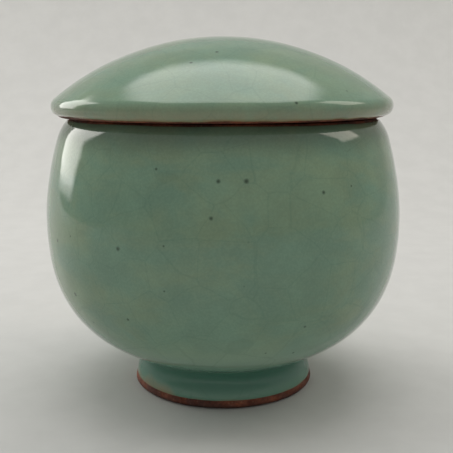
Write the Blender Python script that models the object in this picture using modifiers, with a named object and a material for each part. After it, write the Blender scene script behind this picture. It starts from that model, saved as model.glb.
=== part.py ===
"""A covered rice bowl in celadon stoneware: a footed bowl, and a domed lid that lifts straight off.

The bowl stands on the XY plane with its axis on +Z, so the origin is the middle of its foot.
Every sub-part is turned: a profile in the XZ plane, spun about Z by a Screw modifier. The clay is
bare where the two pieces meet and where the foot stands, and elsewhere it carries coats of glaze,
which are solids of their own with a fine gap to the clay. The sub-parts are children of two
empties, "bowl" and "lid", and the lid slides straight up the axis that both empties are on.
"""
import math

import bpy
from mathutils import Vector

OBJECT_NAME = "covered_rice_bowl"

# Driving dimensions, in metres. Outside dimensions are over the glaze.
BELLY_RADIUS = 0.060
BELLY_HEIGHT = 0.0600
SHOULDER_RISE = 0.0860        # semi-height and exponent of the superellipse above the belly
SHOULDER_EXPONENT = 1.72
UNDERSIDE_DROP = 0.0510       # the same below the belly
UNDERSIDE_EXPONENT = 2.60

MOUTH_HEIGHT = 0.0922         # top of the rim, which is bare clay
RIM_TURN_START = 0.0864       # height where the rim begins to turn in
RIM_TURN_IN = 0.0018          # how much further in it turns by the mouth
OUTER_GLAZE_DROP = 0.0002     # how far below the rim each coat of the bowl stops
INNER_GLAZE_DROP = 0.0011

NECK_RADIUS = 0.0289          # where the foot meets the underside
FOOT_RADIUS = 0.0316          # the foot flares out to this radius near the ground
FOOT_BEVEL_HEIGHT = 0.0008    # below this height it is bevelled in
FOOT_EDGE_RADIUS = 0.0300     # outer and inner edges of the face the bowl stands on
FOOT_WELL_RADIUS = 0.0245
FOOT_EASING = 0.0005          # small chamfer on the inner one
FOOT_GLAZE_LINE = 0.0030      # the foot is bare below this height

DOME_RADIUS = 0.088           # the lid is a cap of this sphere, with a rolled lip
LID_TOP_HEIGHT = 0.1185
LIP_RADIUS = 0.0035
LIP_CENTRE_RADIUS = 0.0534
LIP_GLAZE_END = -70.0         # degrees below horizontal, where the lip's glaze stops
SEAT_EDGE_RADIUS = 0.0534     # outer edge of the flat the lid sits on
FLANGE_DEPTH = 0.0060         # how far the flange drops into the mouth
FLANGE_WIDTH = 0.0026
FLANGE_EASING = 0.00065       # chamfer on the flange's lower edges
FLANGE_CLEARANCE = 0.0008     # between the flange and the inside of the mouth

GLAZE = 0.0007                # thickness of a coat
CLAY = 0.0030                 # thickness of the thrown walls
GAP = 0.0003                  # between neighbouring solids

BARE_SETBACK = 0.0002         # bare clay lies this far inside the face of the glaze beside it
FLOOR_FLAT_RADIUS = 0.006     # the floor is flat inside this radius
FLOOR_MIDDLE_RADIUS = 0.018
WELL_MIDDLE = 0.6             # middle point of the well's glaze, as a share of its radius

# How finely the curves are divided.
STEPS_AROUND = 40
SHOULDER_POINTS = 6
UNDERSIDE_POINTS = 9
DOME_POINTS = 7
LIP_STEP = math.radians(20.0)
SHORTEST_EDGE = 0.0005
MERGE_DISTANCE = 0.00005      # joins the points that lie on the axis

CLAY_COLOUR = (0.17, 0.075, 0.045)
CLAY_ROUGHNESS = 0.8
GLAZE_COLOUR = (0.19, 0.34, 0.23)
GLAZE_ROUGHNESS = 0.08

SEAT_HEIGHT = MOUTH_HEIGHT + GAP
OUTER_CLAY = GLAZE + GAP               # depth of each surface under the outside of the glaze
INNER_CLAY = OUTER_CLAY + CLAY
INNER_GLAZE_BACK = INNER_CLAY + GAP
INNER_GLAZE_FACE = INNER_GLAZE_BACK + GLAZE


# ---------------------------------------------------------------------------------- profiles

def superellipse_radius(height, rise, exponent):
    """Radius of the bowl at a height, on the curve that reaches the axis `rise` from the belly."""
    level = min(abs(height - BELLY_HEIGHT) / rise, 1.0)
    return BELLY_RADIUS * (1.0 - level ** exponent) ** (1.0 / exponent)


def superellipse_height(radius, drop, exponent):
    """Height of the bowl's underside at a radius."""
    return BELLY_HEIGHT - drop * (1.0 - (radius / BELLY_RADIUS) ** exponent) ** (1.0 / exponent)


def shoulder_radius(height):
    turn = max(0.0, (height - RIM_TURN_START) / (MOUTH_HEIGHT - RIM_TURN_START))
    return superellipse_radius(height, SHOULDER_RISE, SHOULDER_EXPONENT) - RIM_TURN_IN * turn ** 2


def underside_height(radius):
    return superellipse_height(radius, UNDERSIDE_DROP, UNDERSIDE_EXPONENT)


def spread(first, last, count):
    """`count` evenly spaced values from first to last."""
    return [first + (last - first) * index / (count - 1) for index in range(count)]


def bowl_outline():
    """The bowl's outside, from the mouth down past the belly and in underneath to the neck."""
    heights = spread(MOUTH_HEIGHT, BELLY_HEIGHT, SHOULDER_POINTS)
    points = [(shoulder_radius(height), height) for height in heights]
    end = math.acos((NECK_RADIUS / BELLY_RADIUS) ** (UNDERSIDE_EXPONENT / 2.0))
    for angle in spread(0.0, end, UNDERSIDE_POINTS)[1:]:
        radius = BELLY_RADIUS * math.cos(angle) ** (2.0 / UNDERSIDE_EXPONENT)
        points.append((radius, underside_height(radius)))
    return points


def floor_outline():
    """The bowl's underside inside the foot, from the neck in to its flat middle."""
    return [(radius, underside_height(radius)) for radius in (FLOOR_MIDDLE_RADIUS, FLOOR_FLAT_RADIUS)]


def foot_radius(height):
    """Radius of the foot's outside, which flares in a straight line from the neck down."""
    neck_height = underside_height(NECK_RADIUS)
    share = (neck_height - height) / (neck_height - FOOT_BEVEL_HEIGHT)
    return NECK_RADIUS + (FOOT_RADIUS - NECK_RADIUS) * share


def sphere_height(radius, depth):
    """Height of the dome at a radius, on the sphere `depth` inside the glazed outside."""
    return LID_TOP_HEIGHT - DOME_RADIUS + math.sqrt((DOME_RADIUS - depth) ** 2 - radius ** 2)


def dome_outline(depth, outer_radius):
    """From the axis out to a radius, on the sphere `depth` inside the glazed outside."""
    return [(radius, sphere_height(radius, depth)) for radius in spread(0.0, outer_radius, DOME_POINTS)]


def lid_outline():
    """The glazed outside of the lid: the dome, then the rolled lip that meets it at a tangent."""
    reach = DOME_RADIUS - LIP_RADIUS
    tangent = math.acos(LIP_CENTRE_RADIUS / reach)
    centre_height = LID_TOP_HEIGHT - DOME_RADIUS + reach * math.sin(tangent)
    points = dome_outline(0.0, DOME_RADIUS * math.cos(tangent))
    end = math.radians(LIP_GLAZE_END)
    count = round((tangent - end) / LIP_STEP) + 1
    for angle in spread(tangent, end, count)[1:]:
        points.append((LIP_CENTRE_RADIUS + LIP_RADIUS * math.cos(angle),
                       centre_height + LIP_RADIUS * math.sin(angle)))
    return points


def inset(points, depth):
    """A falling outline moved `depth` into the clay, with mitred corners."""
    path = [Vector(point) for point in points]
    ways = [(after - before).normalized() for before, after in zip(path, path[1:])]
    normals = [Vector((way.y, -way.x)) for way in ways]
    moved = []
    for index, point in enumerate(path):
        before = normals[max(index - 1, 0)]
        after = normals[min(index, len(normals) - 1)]
        mitre = (before + after).normalized()
        if point.x == 0.0:
            mitre = Vector((0.0, -1.0))
        moved.append(tuple(point + mitre * (depth / mitre.dot(before))))
    return moved


def cut_below(points, height):
    """The part of a falling outline that lies below a height, starting exactly on it."""
    for index, ((r1, z1), (r2, z2)) in enumerate(zip(points, points[1:])):
        if z2 < height - SHORTEST_EDGE:
            start = (r1 + (r2 - r1) * (height - z1) / (z2 - z1), height)
            return [start] + points[index + 1:]
    raise ValueError("the outline doesn't reach that height")


def to_axis(points):
    """The points with a last one on the axis, level with the one before it."""
    return points + [(0.0, points[-1][1])]


# ---------------------------------------------------------------------------------- materials

def ceramic(name, colour, roughness):
    """A Principled material for fired clay or glaze."""
    material = bpy.data.materials.new(name)
    material.use_nodes = True
    material.diffuse_color = (*colour, 1.0)
    shader = material.node_tree.nodes["Principled BSDF"]
    shader.inputs["Base Color"].default_value = (*colour, 1.0)
    shader.inputs["Roughness"].default_value = roughness
    shader.inputs["Metallic"].default_value = 0.0
    return material


# ---------------------------------------------------------------------------------- sub-parts

def turned(name, profile, material, body, closed=False):
    """Spins a profile about Z, as a child of its body's empty.

    The profile runs down the outer side, and a closed one joins its two ends.
    """
    edges = [(index, index + 1) for index in range(len(profile) - 1)]
    if closed:
        edges.append((len(profile) - 1, 0))
    mesh = bpy.data.meshes.new(name)
    mesh.from_pydata([(radius, 0.0, height) for radius, height in profile], edges, [])
    mesh.materials.append(material)
    part = bpy.data.objects.new(name, mesh)
    part.parent = body
    body.users_collection[0].objects.link(part)
    screw = part.modifiers.new("turn", "SCREW")
    screw.axis = "Z"
    screw.angle = math.tau
    screw.steps = STEPS_AROUND
    screw.render_steps = STEPS_AROUND
    screw.use_merge_vertices = True
    screw.merge_threshold = MERGE_DISTANCE
    return part


def skin_outline():
    """The glazed outside from the mouth down past the neck to the foot's glaze line."""
    return bowl_outline() + [(foot_radius(FOOT_GLAZE_LINE), FOOT_GLAZE_LINE)]


def bowl_surface(depth, top):
    """The bowl's outside moved `depth` into the clay, from a height down to the axis."""
    return to_axis(cut_below(inset(bowl_outline() + floor_outline(), depth), top))


def add_bowl(bowl, clay, glaze):
    # Clay: up the inside from the floor, across the flat bare rim, and down the outside.
    inside = bowl_surface(INNER_CLAY, MOUTH_HEIGHT)
    outside = bowl_surface(OUTER_CLAY, MOUTH_HEIGHT)
    turned("bowl_wall", inside[::-1] + outside, clay, bowl)

    # The inner coat, from a little below the rim down over the floor.
    face = bowl_surface(INNER_GLAZE_FACE, MOUTH_HEIGHT - INNER_GLAZE_DROP)
    back = bowl_surface(INNER_GLAZE_BACK, MOUTH_HEIGHT - INNER_GLAZE_DROP)
    turned("bowl_inner_glaze", face[::-1] + back, glaze, bowl)

    # The outer coat is one skin from the rim down over the neck to the foot's glaze line.
    skin = cut_below(skin_outline(), MOUTH_HEIGHT - OUTER_GLAZE_DROP)
    turned("bowl_outer_glaze", skin + inset(skin, GLAZE)[::-1], glaze, bowl, closed=True)


def add_foot(bowl, clay, glaze):
    # Down the outside under the glaze, out to the bare band, across the ground and up the well.
    band_top = FOOT_GLAZE_LINE - GAP
    neck_radius = inset(skin_outline(), OUTER_CLAY)[-2][0]
    profile = [
        (neck_radius, foot_top_height(neck_radius)),
        (foot_radius(band_top) - OUTER_CLAY, band_top),
        (foot_radius(band_top) - BARE_SETBACK, band_top),
        (FOOT_RADIUS - BARE_SETBACK, FOOT_BEVEL_HEIGHT),
        (FOOT_EDGE_RADIUS, 0.0),
        (FOOT_WELL_RADIUS + FOOT_EASING, 0.0),
        (FOOT_WELL_RADIUS, FOOT_EASING),
        (FOOT_WELL_RADIUS, foot_top_height(FOOT_WELL_RADIUS)),
    ]
    turned("foot_ring", profile, clay, bowl, closed=True)

    # A disc of glaze on the underside of the floor, inside the foot.
    edge = FOOT_WELL_RADIUS - GAP
    lower = [(radius, underside_height(radius)) for radius in (edge, edge * WELL_MIDDLE, 0.0)]
    upper = [(radius, height + GLAZE) for radius, height in lower[::-1]]
    turned("foot_well_glaze", upper + lower, glaze, bowl)


def foot_top_height(radius):
    """Top of the foot ring: just under the clay of the floor."""
    return underside_height(radius) + OUTER_CLAY - GAP


def flange_radius():
    """Outer radius of the flange: it clears the top edge of the inner coat, the mouth's narrowest."""
    return bowl_surface(INNER_GLAZE_FACE, MOUTH_HEIGHT - INNER_GLAZE_DROP)[0][0] - FLANGE_CLEARANCE


def add_lid(lid, clay, glaze):
    outside = lid_outline()
    flange_outer = flange_radius()
    flange_inner = flange_outer - FLANGE_WIDTH

    turned("lid_outer_glaze", outside + inset(outside, GLAZE)[::-1], glaze, lid)

    # Clay: out over the dome and round the lip, in along the flat seat, up and back to the axis.
    pocket_radius = flange_outer + GAP
    body = inset(outside, OUTER_CLAY)
    body += [(SEAT_EDGE_RADIUS, SEAT_HEIGHT), (pocket_radius, SEAT_HEIGHT)]
    body += dome_outline(INNER_CLAY, pocket_radius)[::-1]
    turned("lid_dome", body, clay, lid)

    back = dome_outline(INNER_GLAZE_BACK, flange_inner - GAP)
    face = dome_outline(INNER_GLAZE_FACE, flange_inner - GAP)
    turned("lid_inner_glaze", back + face[::-1], glaze, lid)

    # The flange hangs from the underside of the dome and drops into the mouth.
    foot = SEAT_HEIGHT - FLANGE_DEPTH
    ring = [
        (flange_outer, sphere_height(flange_outer, INNER_GLAZE_BACK)),
        (flange_outer, foot + FLANGE_EASING),
        (flange_outer - FLANGE_EASING, foot),
        (flange_inner + FLANGE_EASING, foot),
        (flange_inner, foot + FLANGE_EASING),
        (flange_inner, sphere_height(flange_inner, INNER_GLAZE_BACK)),
    ]
    turned("lid_flange", ring, clay, lid, closed=True)


def add_empty(name, collection):
    """The empty at the origin that carries one body's pieces."""
    empty = bpy.data.objects.new(name, None)
    empty.empty_display_size = BELLY_RADIUS
    collection.objects.link(empty)
    return empty


def main():
    for old in list(bpy.data.objects):
        bpy.data.objects.remove(old, do_unlink=True)
    collection = bpy.data.collections.new(OBJECT_NAME)
    bpy.context.scene.collection.children.link(collection)
    clay = ceramic("stoneware_clay", CLAY_COLOUR, CLAY_ROUGHNESS)
    glaze = ceramic("celadon_glaze", GLAZE_COLOUR, GLAZE_ROUGHNESS)
    bowl = add_empty("bowl", collection)
    lid = add_empty("lid", collection)
    add_bowl(bowl, clay, glaze)
    add_foot(bowl, clay, glaze)
    add_lid(lid, clay, glaze)


main()
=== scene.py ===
"""The finished look of the covered rice bowl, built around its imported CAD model.

Every piece is turned, so each is a dense profile spun about Z. The pieces of a body share a field
of small waves that draws them inward by up to a few tenths of a millimetre, the way a wheel-thrown
wall wanders, and most glaze coats add waves of their own. Each coat thins to a roll at its edge,
and most of these edges wander, beside the bare clay of the rim, the seat, the flange and the foot.
"""
import math

import bpy
import numpy as np
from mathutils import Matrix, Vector


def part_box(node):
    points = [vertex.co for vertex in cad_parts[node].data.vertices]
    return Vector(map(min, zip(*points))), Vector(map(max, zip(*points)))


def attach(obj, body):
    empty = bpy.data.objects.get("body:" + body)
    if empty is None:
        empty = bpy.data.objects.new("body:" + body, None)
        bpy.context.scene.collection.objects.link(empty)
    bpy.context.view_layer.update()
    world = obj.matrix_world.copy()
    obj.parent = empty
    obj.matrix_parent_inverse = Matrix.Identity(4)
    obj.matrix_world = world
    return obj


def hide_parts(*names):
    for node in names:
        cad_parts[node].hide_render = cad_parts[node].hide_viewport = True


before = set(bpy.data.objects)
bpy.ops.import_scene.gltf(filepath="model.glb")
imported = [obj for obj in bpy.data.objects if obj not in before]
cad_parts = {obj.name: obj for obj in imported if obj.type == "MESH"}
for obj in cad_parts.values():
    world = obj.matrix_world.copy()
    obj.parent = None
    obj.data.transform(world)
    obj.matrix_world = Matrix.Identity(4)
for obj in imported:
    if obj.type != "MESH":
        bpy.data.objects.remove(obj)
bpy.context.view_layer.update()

MM = 0.001

# ------------------------------------------------------------------------------ dimensions
# Sizes come from the CAD nodes where a box gives them. The rest are the numbers of the curves.

BELLY_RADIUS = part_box("bowl_outer_glaze")[1].x
MOUTH_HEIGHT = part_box("bowl_wall")[1].z
RIM_GLAZE_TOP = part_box("bowl_outer_glaze")[1].z
INNER_GLAZE_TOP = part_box("bowl_inner_glaze")[1].z
FOOT_GLAZE_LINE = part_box("bowl_outer_glaze")[0].z
WELL_GLAZE_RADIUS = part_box("foot_well_glaze")[1].x
LID_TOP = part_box("lid_outer_glaze")[1].z
SEAT_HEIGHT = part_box("lid_dome")[0].z
FLANGE_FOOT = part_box("lid_flange")[0].z
FLANGE_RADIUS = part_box("lid_flange")[1].x
LINING_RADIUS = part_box("lid_inner_glaze")[1].x

BELLY_HEIGHT = 60.0 * MM
SHOULDER_RISE = 86.0 * MM
SHOULDER_EXPONENT = 1.72
UNDERSIDE_DROP = 51.0 * MM
UNDERSIDE_EXPONENT = 2.60
RIM_TURN_START = 86.4 * MM
RIM_TURN_IN = 1.8 * MM
NECK_RADIUS = 28.9 * MM
NECK_FILLET_REACH = 6.5 * MM
NECK_FILLET_PASSES = 160
FOOT_RADIUS = 31.6 * MM
FOOT_BEVEL_HEIGHT = 0.8 * MM
FOOT_EDGE_RADIUS = 30.0 * MM
FOOT_WELL_RADIUS = 24.5 * MM
DOME_RADIUS = 88.0 * MM
LIP_RADIUS = 3.5 * MM
LIP_CENTRE_RADIUS = 53.4 * MM
LIP_GLAZE_END = math.radians(-70.0)
SEAT_EDGE_RADIUS = 53.4 * MM
FLANGE_WIDTH = 2.6 * MM

GLAZE = 0.7 * MM              # thickness of a coat
CLAY_DEPTH = 0.5 * MM         # hidden clay lies this deep, so that each coat sits in it
BARE_DEPTH = 0.22 * MM        # bare clay lies this far behind the face of the glaze
LINING_DEPTH = 5.0 * MM       # face of the inner coats, behind the outside
WALL_BACK = 4.5 * MM          # hidden inner face of the clay
LID_SHIFT = -0.3 * MM         # the lid sits a hair to the left on the rim
LID_TILT = math.radians(0.22) # and a hair lower on that side

CAMERA_PLACE = (1.08 * MM, -260.0 * MM, 103.6 * MM)
CAMERA_DOWN = 10.77           # degrees below level
CAMERA_LENS = 60.36           # on a sensor 36 mm wide
LIGHT_DISTANCE = 1.05         # metres, from the middle of the belly

EDGE_THINNING = 0.92          # share of a coat's thickness that it loses at its edge
WAVE_SEEDS = {"bowl": 1, "lid": 5}

SEGMENTS = 256
SPACING = 0.8 * MM            # of profile points on the broad curves
LONG_SPACING = 1.4 * MM       # and on the long skin of the bowl
FINE = 0.15 * MM              # of profile points round edges
NEAR_AXIS = 0.1 * MM          # radius at which a curve that runs in to the axis stops

# Colours, in linear light
BLUE_GREEN = (0.156, 0.272, 0.192)
YELLOW_GREEN = (0.196, 0.285, 0.180)
# painted light: the lower belly as lit by light bounced up from the paper
BOUNCE_LIT_GREEN = (0.275, 0.430, 0.335)
POOLED_GREEN = (0.035, 0.150, 0.100)
WARM_EDGE = (0.265, 0.205, 0.120)
# painted shade: the shadow of the lid's overhanging lip on the shoulder
RIM_PAINTED_SHADE = (0.045, 0.070, 0.045)
CRAZING = (0.055, 0.130, 0.090)
IRON_SPECK = (0.026, 0.048, 0.028)
DARK_CLAY = (0.075, 0.020, 0.012)
RED_CLAY = (0.270, 0.075, 0.032)
SAND_GRAIN = (0.300, 0.170, 0.100)
# painted shade: the contact shadow where the foot meets the table
CONTACT_SHADE = (0.030, 0.012, 0.008)
WORN_CLAY = (0.260, 0.130, 0.075)
PAPER = (0.58, 0.577, 0.565)
SURROUND_LOW = (0.39, 0.385, 0.363)
SURROUND_HIGH = (0.48, 0.48, 0.47)


# ------------------------------------------------------------------------------ curves

def shoulder_radius(height):
    level = np.abs(height - BELLY_HEIGHT) / SHOULDER_RISE
    turn = np.clip((height - RIM_TURN_START) / (MOUTH_HEIGHT - RIM_TURN_START), 0.0, None)
    radius = BELLY_RADIUS * (1.0 - level ** SHOULDER_EXPONENT) ** (1.0 / SHOULDER_EXPONENT)
    return radius - RIM_TURN_IN * turn ** 2


def underside_height(radius):
    level = 1.0 - (np.asarray(radius) / BELLY_RADIUS) ** UNDERSIDE_EXPONENT
    return BELLY_HEIGHT - UNDERSIDE_DROP * level ** (1.0 / UNDERSIDE_EXPONENT)


NECK_HEIGHT = float(underside_height(NECK_RADIUS))


def foot_radius(height):
    """Radius of the foot's outside, which flares in a straight line from the neck down."""
    share = (NECK_HEIGHT - height) / (NECK_HEIGHT - FOOT_BEVEL_HEIGHT)
    return NECK_RADIUS + (FOOT_RADIUS - NECK_RADIUS) * share


def dome_height(radius, depth):
    """Height of the dome at a radius, on the sphere `depth` inside the glazed outside."""
    return LID_TOP - DOME_RADIUS + np.sqrt((DOME_RADIUS - depth) ** 2 - np.asarray(radius) ** 2)


def bowl_curve(top, inner_radius=NECK_RADIUS):
    """The bowl's glazed outside, from a height down past the belly and in to a radius."""
    heights = np.linspace(top, BELLY_HEIGHT, 90)
    end = math.acos((inner_radius / BELLY_RADIUS) ** (UNDERSIDE_EXPONENT / 2.0))
    radii = BELLY_RADIUS * np.cos(np.linspace(0.0, end, 160)[1:]) ** (2.0 / UNDERSIDE_EXPONENT)
    return np.vstack([
        np.column_stack([shoulder_radius(heights), heights]),
        np.column_stack([radii, underside_height(radii)]),
    ])


def foot_curve(bottom):
    """The foot's glazed outside, from the neck down to a height."""
    heights = np.linspace(NECK_HEIGHT, bottom, 50)
    return np.column_stack([foot_radius(heights), heights])


def lid_curve():
    """The lid's glazed outside: the dome, then the rolled lip down to where its glaze ends."""
    reach = DOME_RADIUS - LIP_RADIUS
    tangent = math.acos(LIP_CENTRE_RADIUS / reach)
    centre = LID_TOP - DOME_RADIUS + reach * math.sin(tangent)
    radii = np.linspace(0.0, DOME_RADIUS * math.cos(tangent), 120)
    return np.vstack([
        np.column_stack([radii, dome_height(radii, 0.0)]),
        arc(LIP_CENTRE_RADIUS, centre, LIP_RADIUS, tangent, LIP_GLAZE_END)[1:],
    ])


def arc(centre_radius, centre_height, radius, start, end):
    angles = np.linspace(start, end, max(6, int(abs(start - end) * radius / FINE) + 2))
    return np.column_stack([
        centre_radius + radius * np.cos(angles),
        centre_height + radius * np.sin(angles),
    ])


def lengths(points):
    """Distance along the curve to each point."""
    steps = np.linalg.norm(np.diff(points, axis=0), axis=1)
    return np.concatenate([[0.0], np.cumsum(steps)])


def resampled(points, spacing, fine_ends=(0.0, 0.0)):
    """The curve with evenly spaced points, and closer ones over the given length at each end."""
    along = lengths(points)
    total = along[-1]
    places = [np.arange(fine_ends[0], total - fine_ends[1], spacing), [total - fine_ends[1]]]
    if fine_ends[0]:
        places.insert(0, np.arange(0.0, fine_ends[0] - FINE / 2.0, FINE))
    if fine_ends[1]:
        places.append(np.arange(total - fine_ends[1] + FINE, total - FINE / 2.0, FINE))
        places.append([total])
    places = np.concatenate(places)
    keep = np.concatenate([[True], np.diff(places) > FINE / 4.0])
    places = places[keep]
    return np.column_stack([np.interp(places, along, points[:, i]) for i in (0, 1)])


def inward(points):
    """Unit normals of a falling outline, pointing into the clay."""
    way = np.gradient(points, axis=0)
    way /= np.linalg.norm(way, axis=1)[:, None]
    return np.column_stack([way[:, 1], -way[:, 0]])


def inset(points, depth):
    """A falling outline moved into the clay by one depth, or by a depth for each point."""
    return points + inward(points) * np.reshape(depth * np.ones(len(points)), (-1, 1))


def onto_axis(points):
    """The curve with its last point moved onto the axis, level with where it ends."""
    return np.vstack([points[points[:, 0] > 0.05 * MM], [[0.0, points[-1, 1]]]])


def softened(points, centre, reach, passes):
    """The curve smoothed near a point, which turns a corner there into a fillet."""
    points = points.copy()
    weight = np.clip(1.0 - np.linalg.norm(points - centre, axis=1) / reach, 0.0, 1.0)[1:-1, None]
    weight = weight * weight * (3.0 - 2.0 * weight)
    for _ in range(passes):
        middle = (points[:-2] + points[2:]) / 2.0
        points[1:-1] += (middle - points[1:-1]) * weight * 0.5
    return points


def rounded(corners, radius, steps=9):
    """A polyline with each inner corner rounded, cut back by up to `radius` or half a side."""
    corners = np.asarray(corners, float)
    made = [corners[0]]
    for before, corner, after in zip(corners, corners[1:], corners[2:]):
        length_before = np.linalg.norm(before - corner)
        length_after = np.linalg.norm(after - corner)
        reach = min(radius, length_before / 2.1, length_after / 2.1)
        start = corner + (before - corner) / length_before * reach
        end = corner + (after - corner) / length_after * reach
        for t in np.linspace(0.0, 1.0, steps):
            made.append((1 - t) ** 2 * start + 2 * t * (1 - t) * corner + t ** 2 * end)
    made.append(corners[-1])
    return np.array(made)


def divided(points, spacing):
    """A closed outline with points added between its own, less than twice `spacing` apart."""
    made = []
    for first, second in zip(points, np.roll(points, -1, axis=0)):
        pieces = max(1, int(np.linalg.norm(second - first) / spacing))
        made += [first + (second - first) * k / pieces for k in range(pieces)]
    return np.array(made)


def roll(distance, width):
    """How far a coat has thinned at a distance from its edge, from 1 at the edge to 0."""
    share = np.clip(1.0 - distance / width, 0.0, 1.0)
    return 1.0 - np.sqrt(np.clip(1.0 - share ** 2, 0.0, 1.0))


def smooth(value, low, high):
    share = np.clip((value - low) / (high - low), 0.0, 1.0)
    return share * share * (3.0 - 2.0 * share)


# ------------------------------------------------------------------------------ waves

def wave_field(points, wavelength, seed, stretch):
    """A smooth random field of about unit size: plane waves in random directions.

    `stretch` above 1 shortens the waves along Z, so that they run round the pot.
    """
    count = 28
    random = np.random.default_rng(seed)
    ways = random.normal(size=(count, 3))
    ways /= np.linalg.norm(ways, axis=1)[:, None]
    ways[:, 2] *= stretch
    ways *= math.tau / wavelength * random.uniform(0.7, 1.4, (count, 1))
    phases = random.uniform(0.0, math.tau, count)
    return np.cos(points @ ways.T + phases).sum(axis=1) / math.sqrt(count / 2.0)


def ring_wave(theta, seed, lowest=2, highest=14):
    """A closed random wave round the pot, of about unit size."""
    random = np.random.default_rng(seed)
    total = np.zeros_like(theta)
    for turns in range(lowest, highest + 1):
        size = random.normal() / math.sqrt(turns)
        total += size * np.cos(turns * theta + random.uniform(0.0, math.tau))
    return total / 1.3


def dent(points, amount, wavelength, seed, stretch=1.0):
    """Depth, never below nothing, of a random field of dents up to `amount` deep."""
    field = wave_field(points, wavelength, seed, stretch)
    return amount * (np.clip(field, -2.0, 2.0) + 2.0) / 4.0


def thrown(points, seed):
    """The points drawn towards the axis by slow waves, which are the same for the same seed."""
    depth = dent(points, 0.28 * MM, 70.0 * MM, seed)
    depth += dent(points, 0.07 * MM, 22.0 * MM, seed + 1, 2.0)
    scale = 1.0 - depth / BELLY_RADIUS
    moved = points.copy()
    moved[:, 0] *= scale
    moved[:, 1] *= scale
    return moved


# ------------------------------------------------------------------------------ turned meshes

def turned(name, profile, material, body, node, edge=None, facing=None, bumps=(),
           marks=None, closed=True):
    """Spins a profile into a smooth mesh that stands for a CAD node.

    profile   points down the outer side; closed joins the last to the first, and otherwise both
              ends are on the axis
    edge      function of (radius, height, theta) that gives the radius and height to use instead
    bumps     (amount, wavelength, seed, stretch) of the piece's own waves, along its normals
    facing    goes with bumps: how much of them each profile point takes, 0 to 1
    marks     vertex attributes: name to a function of (radius, height, theta)
    """
    poles = [] if closed else [0, len(profile) - 1]
    rings = [i for i in range(len(profile)) if i not in poles]
    theta = np.arange(SEGMENTS) * math.tau / SEGMENTS
    base = profile[rings]
    r = np.repeat(base[:, 0], SEGMENTS)
    z = np.repeat(base[:, 1], SEGMENTS)
    around = np.tile(theta, len(rings))
    for pole in poles:
        r = np.append(r, profile[pole, 0])
        z = np.append(z, profile[pole, 1])
        around = np.append(around, 0.0)
    rest_r, rest_z = r.copy(), z.copy()
    if edge:
        r, z = edge(r, z, around)
    points = np.column_stack([r * np.cos(around), r * np.sin(around), z])
    if bumps:
        index = np.concatenate([np.repeat(rings, SEGMENTS), poles]).astype(int)
        depth = sum(dent(points, *bump) for bump in bumps) * facing[index]
        push = inward(profile)[index]
        points[:, 0] += push[:, 0] * np.cos(around) * depth
        points[:, 1] += push[:, 0] * np.sin(around) * depth
        points[:, 2] += push[:, 1] * depth
    points = thrown(points, WAVE_SEEDS[body])
    if body == "lid":
        points[:, 2] += math.tan(LID_TILT) * points[:, 0]
        points[:, 0] += LID_SHIFT

    count = len(rings)
    first = np.arange(count * SEGMENTS).reshape(count, SEGMENTS)
    upper = first if closed else first[:-1]
    lower = np.roll(first, -1, axis=0) if closed else first[1:]
    quads = np.stack(
        [upper, lower, np.roll(lower, -1, axis=1), np.roll(upper, -1, axis=1)], axis=-1)
    faces = quads.reshape(-1, 4).tolist()
    if not closed:
        top, bottom = count * SEGMENTS, count * SEGMENTS + 1
        after = np.roll(first, -1, axis=1)
        faces += [[top, int(a), int(b)] for a, b in zip(first[0], after[0])]
        faces += [[bottom, int(b), int(a)] for a, b in zip(first[-1], after[-1])]

    mesh = bpy.data.meshes.new(name)
    mesh.from_pydata(points.tolist(), [], faces)
    for label, rule in (marks or {}).items():
        attribute = mesh.attributes.new(label, "FLOAT", "POINT")
        attribute.data.foreach_set("value", rule(rest_r, rest_z, around).astype(np.float32))
    mesh.materials.append(material)
    mesh.shade_smooth()
    piece = bpy.data.objects.new(name, mesh)
    bpy.context.scene.collection.objects.link(piece)
    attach(piece, body)
    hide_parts(node)


def coat(face, start_width, end_width):
    """A closed coat of glaze under a face, which thins to a roll over a width at each end.

    Returns the profile, and for each point 1 on the face, less where it thins, 0 on the back.
    """
    along = lengths(face)
    thinned = np.maximum(roll(along, start_width), roll(along[-1] - along, end_width))
    front = inset(face, thinned * GLAZE * EDGE_THINNING)
    back = inset(face, GLAZE)
    profile = np.vstack([front, back[::-1]])
    return profile, np.concatenate([1.0 - thinned, np.zeros(len(back))])


# ------------------------------------------------------------------------------ shader helpers

def add(tree, kind, settings=None, **inputs):
    """Adds a shader node. An input given a socket is linked, and any other is set to the value."""
    node = tree.nodes.new("ShaderNode" + kind)
    for key, value in (settings or {}).items():
        setattr(node, key, value)
    for key, value in inputs.items():
        connect(tree, node.inputs[key.replace("_", " ")], value)
    return node


def connect(tree, socket, value):
    if isinstance(value, bpy.types.NodeSocket):
        tree.links.new(value, socket)
    else:
        socket.default_value = value


def math_node(tree, operation, *values):
    node = tree.nodes.new("ShaderNodeMath")
    node.operation = operation
    for socket, value in zip(node.inputs, values):
        connect(tree, socket, value)
    return node.outputs[0]


def mapped(tree, value, low, high, new_low=0.0, new_high=1.0):
    """A value carried smoothly from one range to another."""
    node = add(tree, "MapRange", {"interpolation_type": "SMOOTHSTEP"}, Value=value)
    ends = {"From Min": low, "From Max": high, "To Min": new_low, "To Max": new_high}
    for key, number in ends.items():
        connect(tree, node.inputs[key], number)
    return node.outputs["Result"]


def mixed(tree, share, first, second, blend="MIX"):
    """Two colours mixed by a share. Each may be a colour or a socket."""
    node = tree.nodes.new("ShaderNodeMix")
    node.data_type = "RGBA"
    node.blend_type = blend
    connect(tree, node.inputs["Factor"], share)
    for socket, value in ((node.inputs[6], first), (node.inputs[7], second)):
        connect(tree, socket, value if isinstance(value, bpy.types.NodeSocket) else (*value, 1.0))
    return node.outputs[2]


def noise(tree, place, scale, detail=2.0, roughness=0.5, distortion=0.0):
    node = add(tree, "TexNoise", Vector=place, Scale=scale, Detail=detail, Roughness=roughness,
               Distortion=distortion)
    return node.outputs["Fac"]


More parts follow.
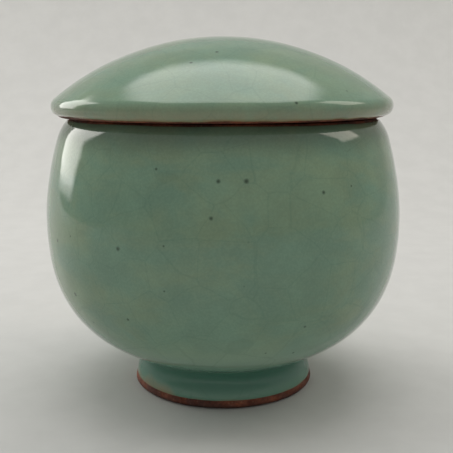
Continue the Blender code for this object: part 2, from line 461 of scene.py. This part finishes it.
def mark(tree, name):
    """One of a mesh's marks, which is 0 all over where the mesh doesn't have it."""
    return add(tree, "Attribute", {"attribute_name": name}).outputs["Fac"]


def new_material(name):
    material = bpy.data.materials.new(name)
    material.use_nodes = True
    tree = material.node_tree
    return material, tree, tree.nodes["Principled BSDF"]


# ------------------------------------------------------------------------------ materials

def glaze_material(name, specks):
    """Celadon: a glossy grey-green glass, warm on thin edges and deep green where it pools.

    specks    (place, radius) of the larger iron specks
    """
    material, tree, shader = new_material(name)
    place = add(tree, "TexCoord").outputs["Object"]
    round_the_pot = add(tree, "Mapping", Vector=place, Scale=(1.0, 1.0, 2.2)).outputs["Vector"]

    # The colour drifts between blue-green and yellow-green, with soft clouds and fine bubbles.
    drift = mapped(tree, noise(tree, round_the_pot, 30.0, 4.0, 0.60, 0.5), 0.34, 0.66)
    colour = mixed(tree, drift, BLUE_GREEN, YELLOW_GREEN)
    clouds = mapped(tree, noise(tree, place, 95.0, 4.0, 0.6), 0.30, 0.72, 0.93, 1.06)
    colour = mixed(tree, 1.0, colour, grey(tree, clouds), "MULTIPLY")
    bubbles = mapped(tree, noise(tree, place, 1500.0, 2.0, 0.6), 0.35, 0.70, 0.95, 1.05)
    colour = mixed(tree, 1.0, colour, grey(tree, bubbles), "MULTIPLY")

    # It is painted paler low on the belly (painted bounce light from the paper), dark where it
    # pools, warm over the clay on edges, and darker under the rim (painted shade of the lid's
    # lip).
    broken = math_node(tree, "MULTIPLY", mark(tree, "thin"),
                       mapped(tree, noise(tree, place, 330.0, 3.0, 0.6), 0.25, 0.6, 0.55, 1.0))
    colour = mixed(tree, mark(tree, "pale"), colour, BOUNCE_LIT_GREEN)
    colour = mixed(tree, mark(tree, "pool"), colour, POOLED_GREEN)
    colour = mixed(tree, broken, colour, WARM_EDGE)
    colour = mixed(tree, mark(tree, "lid_shade"), colour, RIM_PAINTED_SHADE)

    # A faint net of crazing lines.
    bent = add(tree, "VectorMath", {"operation": "MULTIPLY_ADD"})
    tree.links.new(add(tree, "TexNoise", Vector=place, Scale=60.0, Detail=2.0).outputs["Color"],
                   bent.inputs[0])
    bent.inputs[1].default_value = (4.0 * MM,) * 3
    tree.links.new(place, bent.inputs[2])
    net = add(tree, "TexVoronoi", {"feature": "DISTANCE_TO_EDGE"}, Vector=bent.outputs["Vector"],
              Scale=78.0)
    crack = mapped(tree, net.outputs["Distance"], 0.004, 0.022, 0.13, 0.0)
    colour = mixed(tree, crack, colour, CRAZING)

    dark = iron_specks(tree, place, specks)
    colour = mixed(tree, dark, colour, IRON_SPECK)
    tree.links.new(colour, shader.inputs["Base Color"])

    # Glassy, with a trace of haze.
    tree.links.new(mapped(tree, noise(tree, place, 160.0, 3.0), 0.3, 0.75, 0.035, 0.085),
                   shader.inputs["Roughness"])
    shader.inputs["IOR"].default_value = 1.52

    ripple = add(tree, "Bump", Strength=1.0, Distance=0.05 * MM,
                 Height=noise(tree, round_the_pot, 130.0, 1.0, 0.4))
    peel = add(tree, "Bump", Strength=1.0, Distance=0.012 * MM,
               Height=noise(tree, place, 620.0, 2.0, 0.5), Normal=ripple.outputs["Normal"])
    tree.links.new(peel.outputs["Normal"], shader.inputs["Normal"])
    return material


def scattered_specks(seed, count, outline):
    """(place, radius) of the larger iron specks, scattered evenly over a turned surface."""
    chance = np.random.default_rng(seed)
    rings = resampled(outline, 1.0 * MM)
    share = rings[:, 0] / rings[:, 0].sum()
    specks = []
    for _ in range(count):
        out, height = rings[chance.choice(len(rings), p=share)]
        angle = chance.uniform(0.0, 2.0 * math.pi)
        place = (out * math.cos(angle), out * math.sin(angle), height)
        specks.append((place, chance.uniform(0.18, 0.42) * MM))
    return specks


def grey(tree, value):
    return add(tree, "CombineColor", Red=value, Green=value, Blue=value).outputs["Color"]


def iron_specks(tree, place, specks):
    """From 0 to 1: small random specks, and the larger ones."""
    cells = add(tree, "TexVoronoi", {"feature": "F1"}, Vector=place, Scale=105.0, Randomness=1.0)
    picked = add(tree, "SeparateColor", Color=cells.outputs["Color"]).outputs["Red"]
    size = mapped(tree, picked, 0.35, 1.0, 0.022, 0.060)
    near = math_node(tree, "DIVIDE", cells.outputs["Distance"], size)
    dark = mapped(tree, near, 0.2, 1.3, 0.45, 0.0)
    for spot, radius in specks:
        away = add(tree, "VectorMath", {"operation": "DISTANCE"})
        tree.links.new(place, away.inputs[0])
        away.inputs[1].default_value = spot
        spot_dark = mapped(tree, away.outputs["Value"], 0.5 * radius, 2.5 * radius, 0.90, 0.0)
        dark = math_node(tree, "MAXIMUM", dark, spot_dark)
    return dark


def clay_material():
    """Bare iron-red stoneware: dry, gritty and flashed, with painted shade near the ground, worn
    on it.
    """
    material, tree, shader = new_material("stoneware_clay")
    place = add(tree, "TexCoord").outputs["Object"]
    flashing = mapped(tree, noise(tree, place, 75.0, 3.0, 0.6), 0.40, 0.72)
    colour = mixed(tree, flashing, DARK_CLAY, RED_CLAY)
    grit = mapped(tree, noise(tree, place, 1300.0, 3.0, 0.65), 0.28, 0.72, 0.65, 1.30)
    colour = mixed(tree, 1.0, colour, grey(tree, grit), "MULTIPLY")
    grains = add(tree, "TexVoronoi", {"feature": "F1"}, Vector=place, Scale=850.0)
    sand = mapped(tree, grains.outputs["Distance"], 0.10, 0.28, 0.30, 0.0)
    colour = mixed(tree, sand, colour, SAND_GRAIN)
    height = add(tree, "SeparateXYZ", Vector=place).outputs["Z"]
    # Painted shade: the clay darkens within two millimetres of the ground, standing in for the
    # contact shadow of the foot on the table.
    contact_shade = mapped(tree, height, 0.4 * MM, 2.0 * MM, 0.75, 0.0)
    colour = mixed(tree, contact_shade, colour, CONTACT_SHADE)
    worn = mapped(tree, height, 0.02 * MM, 0.15 * MM, 0.3, 0.0)
    colour = mixed(tree, worn, colour, WORN_CLAY)
    tree.links.new(colour, shader.inputs["Base Color"])
    tree.links.new(mapped(tree, noise(tree, place, 420.0, 3.0), 0.3, 0.7, 0.62, 0.92),
                   shader.inputs["Roughness"])
    shader.inputs["IOR"].default_value = 1.45
    coarse = add(tree, "Bump", Strength=1.0, Distance=0.10 * MM,
                 Height=noise(tree, place, 900.0, 4.0, 0.65))
    tree.links.new(coarse.outputs["Normal"], shader.inputs["Normal"])
    return material


# ------------------------------------------------------------------------------ the bowl

def foot_line_edge(r, z, theta):
    """The lower edge of the outer coat wanders on the foot, and runs lower to the left."""
    pull = 1.0 - smooth(z, FOOT_GLAZE_LINE, FOOT_GLAZE_LINE + 3.0 * MM)
    lift = 0.22 * MM * ring_wave(theta, 11) + 0.09 * MM * ring_wave(theta, 12, 15, 48)
    low_left = 0.35 * MM + 0.45 * MM * smooth(-np.cos(theta), 0.3, 1.0)
    return r, z + pull * (np.clip(lift, -0.6 * MM, 0.8 * MM) - low_left)


def rim_line_edge(top):
    """Returns the rule by which the upper edge of a coat wanders below a height."""
    def wander(r, z, theta):
        pull = smooth(z, top - 2.0 * MM, top)
        return r, z - pull * 0.08 * MM * (1.0 + np.clip(ring_wave(theta, 21, 3, 30), -1.0, 2.0))
    return wander


def build_bowl(clay, glaze):
    # The outer coat: one skin from the rim down over the neck to the foot's glaze line.
    neck = np.array([NECK_RADIUS, NECK_HEIGHT])
    outline = np.vstack([bowl_curve(RIM_GLAZE_TOP), foot_curve(FOOT_GLAZE_LINE)[1:]])
    dense = softened(resampled(outline, 0.3 * MM), neck, NECK_FILLET_REACH,
                     NECK_FILLET_PASSES)
    shell = resampled(dense, LONG_SPACING, (2.4 * MM, 16.0 * MM))
    profile, facing = coat(shell, 0.6 * MM, 1.3 * MM)

    def pooled(r, z, theta):
        wobble = 1.0 + 0.25 * ring_wave(theta, 31)
        under = 1.0 - smooth(z - NECK_HEIGHT, -1.0 * MM, 2.2 * MM * wobble)
        on_foot = smooth(z, FOOT_GLAZE_LINE + 0.8 * MM, FOOT_GLAZE_LINE + 4.5 * MM)
        return np.clip(under * (0.62 + 0.30 * on_foot), 0.0, 1.0)

    def thinned(r, z, theta):
        wobble = 1.0 + 0.3 * ring_wave(theta, 32, 4, 20)
        top = 0.7 * smooth(z, RIM_GLAZE_TOP - 0.7 * MM, RIM_GLAZE_TOP)
        reach = (1.0 + 2.6 * smooth(-np.cos(theta), 0.2, 0.9)) * MM * wobble
        low = 1.0 - smooth(z, FOOT_GLAZE_LINE - 0.4 * MM, FOOT_GLAZE_LINE + reach)
        return np.clip(np.maximum(top, low), 0.0, 1.0)

    # Painted shade: a dark band below the rim, standing in for the shadow that the lid's
    # overhanging lip casts.
    def shaded_under_lid(r, z, theta):
        wobble = 0.8 * MM * ring_wave(theta, 33, 2, 9)
        return 0.55 * smooth(z, RIM_GLAZE_TOP - 10.0 * MM + wobble, RIM_GLAZE_TOP - 2.5 * MM)

    # Painted light: the underside of the belly is made paler, standing in for light bounced up
    # from the pale paper.
    def painted_floor_bounce(r, z, theta):
        wobble = 3.0 * MM * ring_wave(theta, 34, 2, 7)
        return 0.85 * (1.0 - smooth(z, 13.0 * MM, 33.0 * MM + wobble))

    rim_line = rim_line_edge(RIM_GLAZE_TOP)
    turned(
        "bowl_glaze_outside", profile, glaze, "bowl", "bowl_outer_glaze",
        edge=lambda r, z, t: rim_line(*foot_line_edge(r, z, t), t), facing=facing,
        bumps=((0.10 * MM, 30.0 * MM, 3, 1.6), (0.035 * MM, 11.0 * MM, 4, 1.8)),
        marks={"pool": pooled, "thin": thinned, "lid_shade": shaded_under_lid, "pale": painted_floor_bounce},
    )

    # The clay wall: bare across the top of the rim, and out of sight below both coats.
    whole = bowl_curve(MOUTH_HEIGHT, NEAR_AXIS)
    inside = inset(whole, WALL_BACK)
    inside = inside[inside[:, 1] < INNER_GLAZE_TOP - 0.2 * MM]
    outside = inset(bowl_curve(RIM_GLAZE_TOP - 0.8 * MM, NEAR_AXIS), CLAY_DEPTH)
    rim_inner = inset(whole, LINING_DEPTH - BARE_DEPTH)[0, 0]
    rim = rounded([
        inside[0],
        (rim_inner, INNER_GLAZE_TOP),
        (rim_inner + 0.2 * MM, MOUTH_HEIGHT),
        (float(shoulder_radius(MOUTH_HEIGHT)) - CLAY_DEPTH, MOUTH_HEIGHT),
        outside[0],
    ], 0.7 * MM)
    profile = np.vstack([
        onto_axis(resampled(inside, 2.0 * MM))[::-1],
        rim[1:-1],
        onto_axis(resampled(outside, 2.0 * MM)),
    ])
    turned("bowl_clay", profile, clay, "bowl", "bowl_wall", closed=False)

    # The inner coat, from just under the rim down over the floor.
    face = inset(whole, LINING_DEPTH)
    face = face[face[:, 1] < INNER_GLAZE_TOP]
    face = onto_axis(resampled(face, SPACING, (2.4 * MM, 0.0)))
    inner_floor = face[-1, 1]
    along = lengths(face)
    thinning = roll(along, 1.1 * MM) * GLAZE * EDGE_THINNING
    front = inset(face, -thinning)
    back = inset(face, -GLAZE)
    for line in (front, back):
        line[-1, 0] = 0.0
    profile = np.vstack([front[::-1], back])

    def inner_pool(r, z, theta):
        return 0.55 * (1.0 - smooth(r, 6.0 * MM, 30.0 * MM)) * (z < inner_floor + 20.0 * MM)

    def inner_thin(r, z, theta):
        return smooth(z, INNER_GLAZE_TOP - 1.4 * MM, INNER_GLAZE_TOP)

    facing = np.concatenate([np.ones(len(front)), np.zeros(len(back))])
    turned(
        "bowl_glaze_inside", profile, glaze, "bowl", "bowl_inner_glaze",
        edge=rim_line_edge(INNER_GLAZE_TOP), facing=facing, closed=False,
        bumps=((0.12 * MM, 26.0 * MM, 7, 1.5), (0.06 * MM, 7.0 * MM, 8, 5.0)),
        marks={"pool": inner_pool, "thin": inner_thin},
    )


def build_foot(clay, glaze):
    # Down under the coat, out to the bare band, round the ground face and up the well.
    under = inset(foot_curve(FOOT_GLAZE_LINE + 0.5 * MM), CLAY_DEPTH)
    band = FOOT_GLAZE_LINE + 0.1 * MM
    well_top = float(underside_height(FOOT_WELL_RADIUS)) + 0.2 * MM
    skirt = rounded([
        under[-1],
        (foot_radius(band) - BARE_DEPTH, band),
        (FOOT_RADIUS - BARE_DEPTH, FOOT_BEVEL_HEIGHT),
        (FOOT_EDGE_RADIUS, 0.0),
        (FOOT_WELL_RADIUS + 0.1 * MM, 0.0),
        (FOOT_WELL_RADIUS, 2.0 * MM),
        (FOOT_WELL_RADIUS, well_top),
    ], 0.7 * MM)
    top = np.array([[NECK_RADIUS - CLAY_DEPTH, NECK_HEIGHT + 0.2 * MM]])
    profile = divided(np.vstack([top, under[2:-1], skirt]), 0.6 * MM)

    def chattered(r, z, theta):
        """Trimming marks on the bare band and slight wear where it stands."""
        low = 1.0 - smooth(z, 0.0, 2.2 * MM)
        return r + low * 0.05 * MM * ring_wave(theta, 41, 5, 40) - low * 0.05 * MM, z

    turned("foot_clay", profile, clay, "bowl", "foot_ring", edge=chattered)

    # Glaze on the underside of the floor, inside the foot.
    radii = np.linspace(WELL_GLAZE_RADIUS, 0.0, 60)
    lower = np.column_stack([radii, underside_height(radii)])
    along = lengths(lower)
    thinned = roll(along, 1.2 * MM) * GLAZE * EDGE_THINNING
    front = lower + np.column_stack([np.zeros(len(lower)), thinned])
    back = lower + np.array([0.0, GLAZE])
    profile = np.vstack([back[::-1], front])

    def well_edge(r, z, theta):
        pull = smooth(r, WELL_GLAZE_RADIUS - 5.0 * MM, WELL_GLAZE_RADIUS)
        return r - pull * 0.25 * MM * (1.0 + np.clip(ring_wave(theta, 43), -1.0, 2.0)), z

    def well_thin(r, z, theta):
        return smooth(r, WELL_GLAZE_RADIUS - 2.0 * MM, WELL_GLAZE_RADIUS)

    def well_pool(r, z, theta):
        return 0.4 * smooth(r, 14.0 * MM, 21.0 * MM)

    turned(
        "foot_glaze_well", profile, glaze, "bowl", "foot_well_glaze",
        edge=well_edge, closed=False, marks={"pool": well_pool, "thin": well_thin},
    )


# ------------------------------------------------------------------------------ the lid

def build_lid(clay, glaze):
    outline = lid_curve()
    shell = resampled(outline, SPACING, (0.0, 11.0 * MM))
    along = lengths(shell)
    thinned = roll(along[-1] - along, 1.1 * MM)
    front = inset(shell, thinned * GLAZE * EDGE_THINNING)
    back = inset(shell, GLAZE)
    for line in (front, back):
        line[0, 0] = 0.0
    front[0, 1] = shell[0, 1]
    back[0, 1] = shell[0, 1] - GLAZE
    profile = np.vstack([front, back[::-1]])
    facing = np.concatenate([1.0 - thinned, np.zeros(len(back))])
    lip_low = shell[-1, 1]

    def lip_thin(r, z, theta):
        wobble = 1.0 + 0.3 * ring_wave(theta, 51, 3, 18)
        low = 1.0 - smooth(z, lip_low, lip_low + 1.1 * MM * wobble)
        turn = 0.45 * (1.0 - smooth(z, lip_low + 0.8 * MM, lip_low + 6.0 * MM)) * (r > 50.0 * MM)
        return np.clip(low + turn, 0.0, 1.0)

    def lip_line(r, z, theta):
        pull = 1.0 - smooth(z, lip_low, lip_low + 1.6 * MM)
        lift = 0.10 * MM * ring_wave(theta, 52) + 0.05 * MM * ring_wave(theta, 53, 15, 50)
        left = 0.35 * MM * smooth(-np.cos(theta), 0.3, 1.0)
        return r, z + pull * (np.clip(lift, -0.15 * MM, 0.4 * MM) + left)

    turned(
        "lid_glaze_outside", profile, glaze, "lid", "lid_outer_glaze",
        edge=lip_line, facing=facing, closed=False,
        bumps=((0.12 * MM, 28.0 * MM, 13, 1.0), (0.035 * MM, 10.0 * MM, 14, 1.0)),
        marks={"thin": lip_thin},
    )

    # Clay: under the coat, bare round the lip and in along the flat seat.
    under = inset(shell, CLAY_DEPTH)
    under[0] = (0.0, shell[0, 1] - CLAY_DEPTH)
    under = under[along < along[-1] - 1.0 * MM]
    bare = inset(shell, BARE_DEPTH)[-1]
    root = FLANGE_RADIUS - 0.8 * MM
    seat = rounded([
        under[-1],
        bare,
        (SEAT_EDGE_RADIUS, SEAT_HEIGHT),
        (root, SEAT_HEIGHT),
        (root, float(dome_height(root, WALL_BACK))),
        (root - 4.0 * MM, float(dome_height(root - 4.0 * MM, WALL_BACK))),
    ], 0.5 * MM, 7)
    inner = np.linspace(root - 6.0 * MM, 0.0, 30)
    inner = np.column_stack([inner, dome_height(inner, WALL_BACK)])
    profile = np.vstack([under[:-1], seat, inner])
    turned("lid_clay", profile, clay, "lid", "lid_dome", closed=False)

    # The lining of the lid, inside the flange.
    radii = np.linspace(0.0, LINING_RADIUS, 90)
    face = np.column_stack([radii, dome_height(radii, LINING_DEPTH)])
    length = lengths(face)
    thinned = roll(length[-1] - length, 1.2 * MM)
    front = face + np.column_stack([np.zeros(len(face)), thinned * GLAZE * EDGE_THINNING])
    back = face + np.array([0.0, GLAZE])
    profile = np.vstack([back, front[::-1]])
    facing = np.concatenate([np.zeros(len(back)), (1.0 - thinned)[::-1]])

    def lining_thin(r, z, theta):
        wobble = 1.0 + 0.3 * ring_wave(theta, 61, 3, 18)
        return smooth(r, LINING_RADIUS - 1.8 * MM * wobble, LINING_RADIUS)

    turned(
        "lid_glaze_inside", profile, glaze, "lid", "lid_inner_glaze",
        facing=facing, closed=False,
        bumps=((0.08 * MM, 26.0 * MM, 17, 1.0), (0.03 * MM, 8.0 * MM, 18, 1.0)),
        marks={"thin": lining_thin},
    )

    # The flange that drops into the mouth, with its lower edges rounded.
    inner_radius = FLANGE_RADIUS - FLANGE_WIDTH
    top_outer = float(dome_height(FLANGE_RADIUS, WALL_BACK)) + 0.3 * MM
    top_inner = float(dome_height(inner_radius, WALL_BACK)) + 0.3 * MM
    ring = rounded([
        (FLANGE_RADIUS, top_outer),
        (FLANGE_RADIUS, SEAT_HEIGHT + 0.2 * MM),
        (FLANGE_RADIUS, FLANGE_FOOT),
        (inner_radius, FLANGE_FOOT),
        (inner_radius, top_inner),
    ], 0.9 * MM)

    def trimmed(r, z, theta):
        return r - 0.04 * MM * (1.0 + np.clip(ring_wave(theta, 71, 3, 30), -1.0, 1.5)), z

    turned("lid_flange_clay", divided(ring, 0.8 * MM), clay, "lid", "lid_flange",
           edge=trimmed)


# ------------------------------------------------------------------------------ stage and light

def paper_sweep():
    """A pale paper table top that curves up into a backdrop."""
    front, turn_start, back, top, side = -0.60, 0.26, 0.62, 0.56, 0.68  # metres
    bend = back - turn_start
    path = [(y, 0.0) for y in np.linspace(front, turn_start, 40)]
    path += [(turn_start + bend * math.sin(a), bend * (1.0 - math.cos(a)))
             for a in np.linspace(0.0, math.pi / 2.0, 24)[1:]]
    path += [(back, z) for z in np.linspace(bend, top, 8)[1:]]
    vertices = [(x, y, z) for y, z in path for x in (-side, side)]
    faces = [(2 * i, 2 * i + 1, 2 * i + 3, 2 * i + 2) for i in range(len(path) - 1)]
    mesh = bpy.data.meshes.new("paper_sweep")
    mesh.from_pydata(vertices, [], faces)
    mesh.shade_smooth()
    sweep = bpy.data.objects.new("paper_sweep", mesh)
    bpy.context.scene.collection.objects.link(sweep)

    material, tree, shader = new_material("pale_paper")
    place = add(tree, "TexCoord").outputs["Object"]
    fibre = mapped(tree, noise(tree, place, 60.0, 5.0, 0.6), 0.3, 0.7, 0.975, 1.02)
    colour = mixed(tree, 1.0, PAPER, grey(tree, fibre), "MULTIPLY")
    tree.links.new(colour, shader.inputs["Base Color"])
    shader.inputs["Roughness"].default_value = 0.75
    shader.inputs["IOR"].default_value = 1.3
    mesh.materials.append(material)


def toward(azimuth, elevation):
    """Unit vector at an azimuth, 0 towards the camera and 90 to its right, and an elevation."""
    a, e = math.radians(azimuth), math.radians(elevation)
    return np.array([math.sin(a) * math.cos(e), -math.cos(a) * math.cos(e), math.sin(e)])


def soft_box(name, azimuth, elevation, width, height, colour, radiance):
    """A plain soft box about a metre away, with soft edges, that the camera doesn't see."""
    way = toward(azimuth, elevation)
    mesh = bpy.data.meshes.new(name)
    corners = [(-width / 2, -height / 2, 0), (width / 2, -height / 2, 0),
               (width / 2, height / 2, 0), (-width / 2, height / 2, 0)]
    mesh.from_pydata(corners, [], [(0, 1, 2, 3)])
    box = bpy.data.objects.new(name, mesh)
    bpy.context.scene.collection.objects.link(box)
    box.location = np.array([0.0, 0.0, BELLY_HEIGHT]) + way * LIGHT_DISTANCE
    box.rotation_mode = "QUATERNION"
    box.rotation_quaternion = Vector(-way).to_track_quat("Z", "Y")
    box.visible_camera = False
    material = bpy.data.materials.new(name)
    material.use_nodes = True
    mesh.materials.append(material)

    tree = material.node_tree
    tree.nodes.clear()
    split = add(tree, "SeparateXYZ", Vector=add(tree, "TexCoord").outputs["Object"])
    share = None
    for axis, size in (("X", width), ("Y", height)):
        out = math_node(tree, "ABSOLUTE", split.outputs[axis])
        inside = mapped(tree, out, 0.34 * size, 0.50 * size, 1.0, 0.0)
        share = inside if share is None else math_node(tree, "MULTIPLY", share, inside)
    glow = add(tree, "Emission", Color=(*colour, 1.0),
               Strength=math_node(tree, "MULTIPLY", share, radiance))
    both = tree.nodes.new("ShaderNodeAddShader")
    tree.links.new(glow.outputs[0], both.inputs[0])
    tree.links.new(add(tree, "BsdfTransparent").outputs[0], both.inputs[1])
    out_node = tree.nodes.new("ShaderNodeOutputMaterial")
    tree.links.new(both.outputs[0], out_node.inputs["Surface"])


def soft_surround():
    """Even light from all round, brighter above."""
    world = bpy.data.worlds.new("soft_surround")
    bpy.context.scene.world = world
    world.use_nodes = True
    tree = world.node_tree
    tree.nodes.clear()
    way = add(tree, "TexCoord").outputs["Generated"]
    height = add(tree, "SeparateXYZ", Vector=way).outputs["Z"]
    colour = mixed(tree, mapped(tree, height, 0.10, 0.95), SURROUND_LOW, SURROUND_HIGH)
    background = add(tree, "Background", Color=colour, Strength=1.0)
    out = tree.nodes.new("ShaderNodeOutputWorld")
    tree.links.new(background.outputs[0], out.inputs["Surface"])


def camera():
    """The camera, a little right of the bowl's middle and above its mouth, looking down."""
    data = bpy.data.cameras.new("camera")
    data.sensor_width = 36.0
    data.lens = CAMERA_LENS
    view = bpy.data.objects.new("camera", data)
    bpy.context.scene.collection.objects.link(view)
    view.location = CAMERA_PLACE
    view.rotation_euler = (math.radians(90.0 - CAMERA_DOWN), 0.0, 0.0)
    bpy.context.scene.camera = view


camera()
bpy.context.scene.view_settings.view_transform = "Standard"
paper_sweep()
soft_surround()
soft_box("soft_box_left", -120.0, 20.0, 0.66, 0.84, (1.0, 0.98, 0.93), 3.6)
soft_box("soft_box_above", 180.0, 79.0, 1.24, 1.16, (1.0, 1.0, 0.98), 2.1)
soft_box("soft_box_right", 100.0, 38.0, 0.45, 0.60, (1.0, 0.92, 0.80), 2.4)

clay = clay_material()
bowl_glaze = glaze_material(
    "celadon_bowl", scattered_specks(3, 56, bowl_curve(RIM_GLAZE_TOP)))
lid_glaze = glaze_material("celadon_lid", scattered_specks(5, 40, lid_curve()))
build_bowl(clay, bowl_glaze)
build_foot(clay, bowl_glaze)
build_lid(clay, lid_glaze)
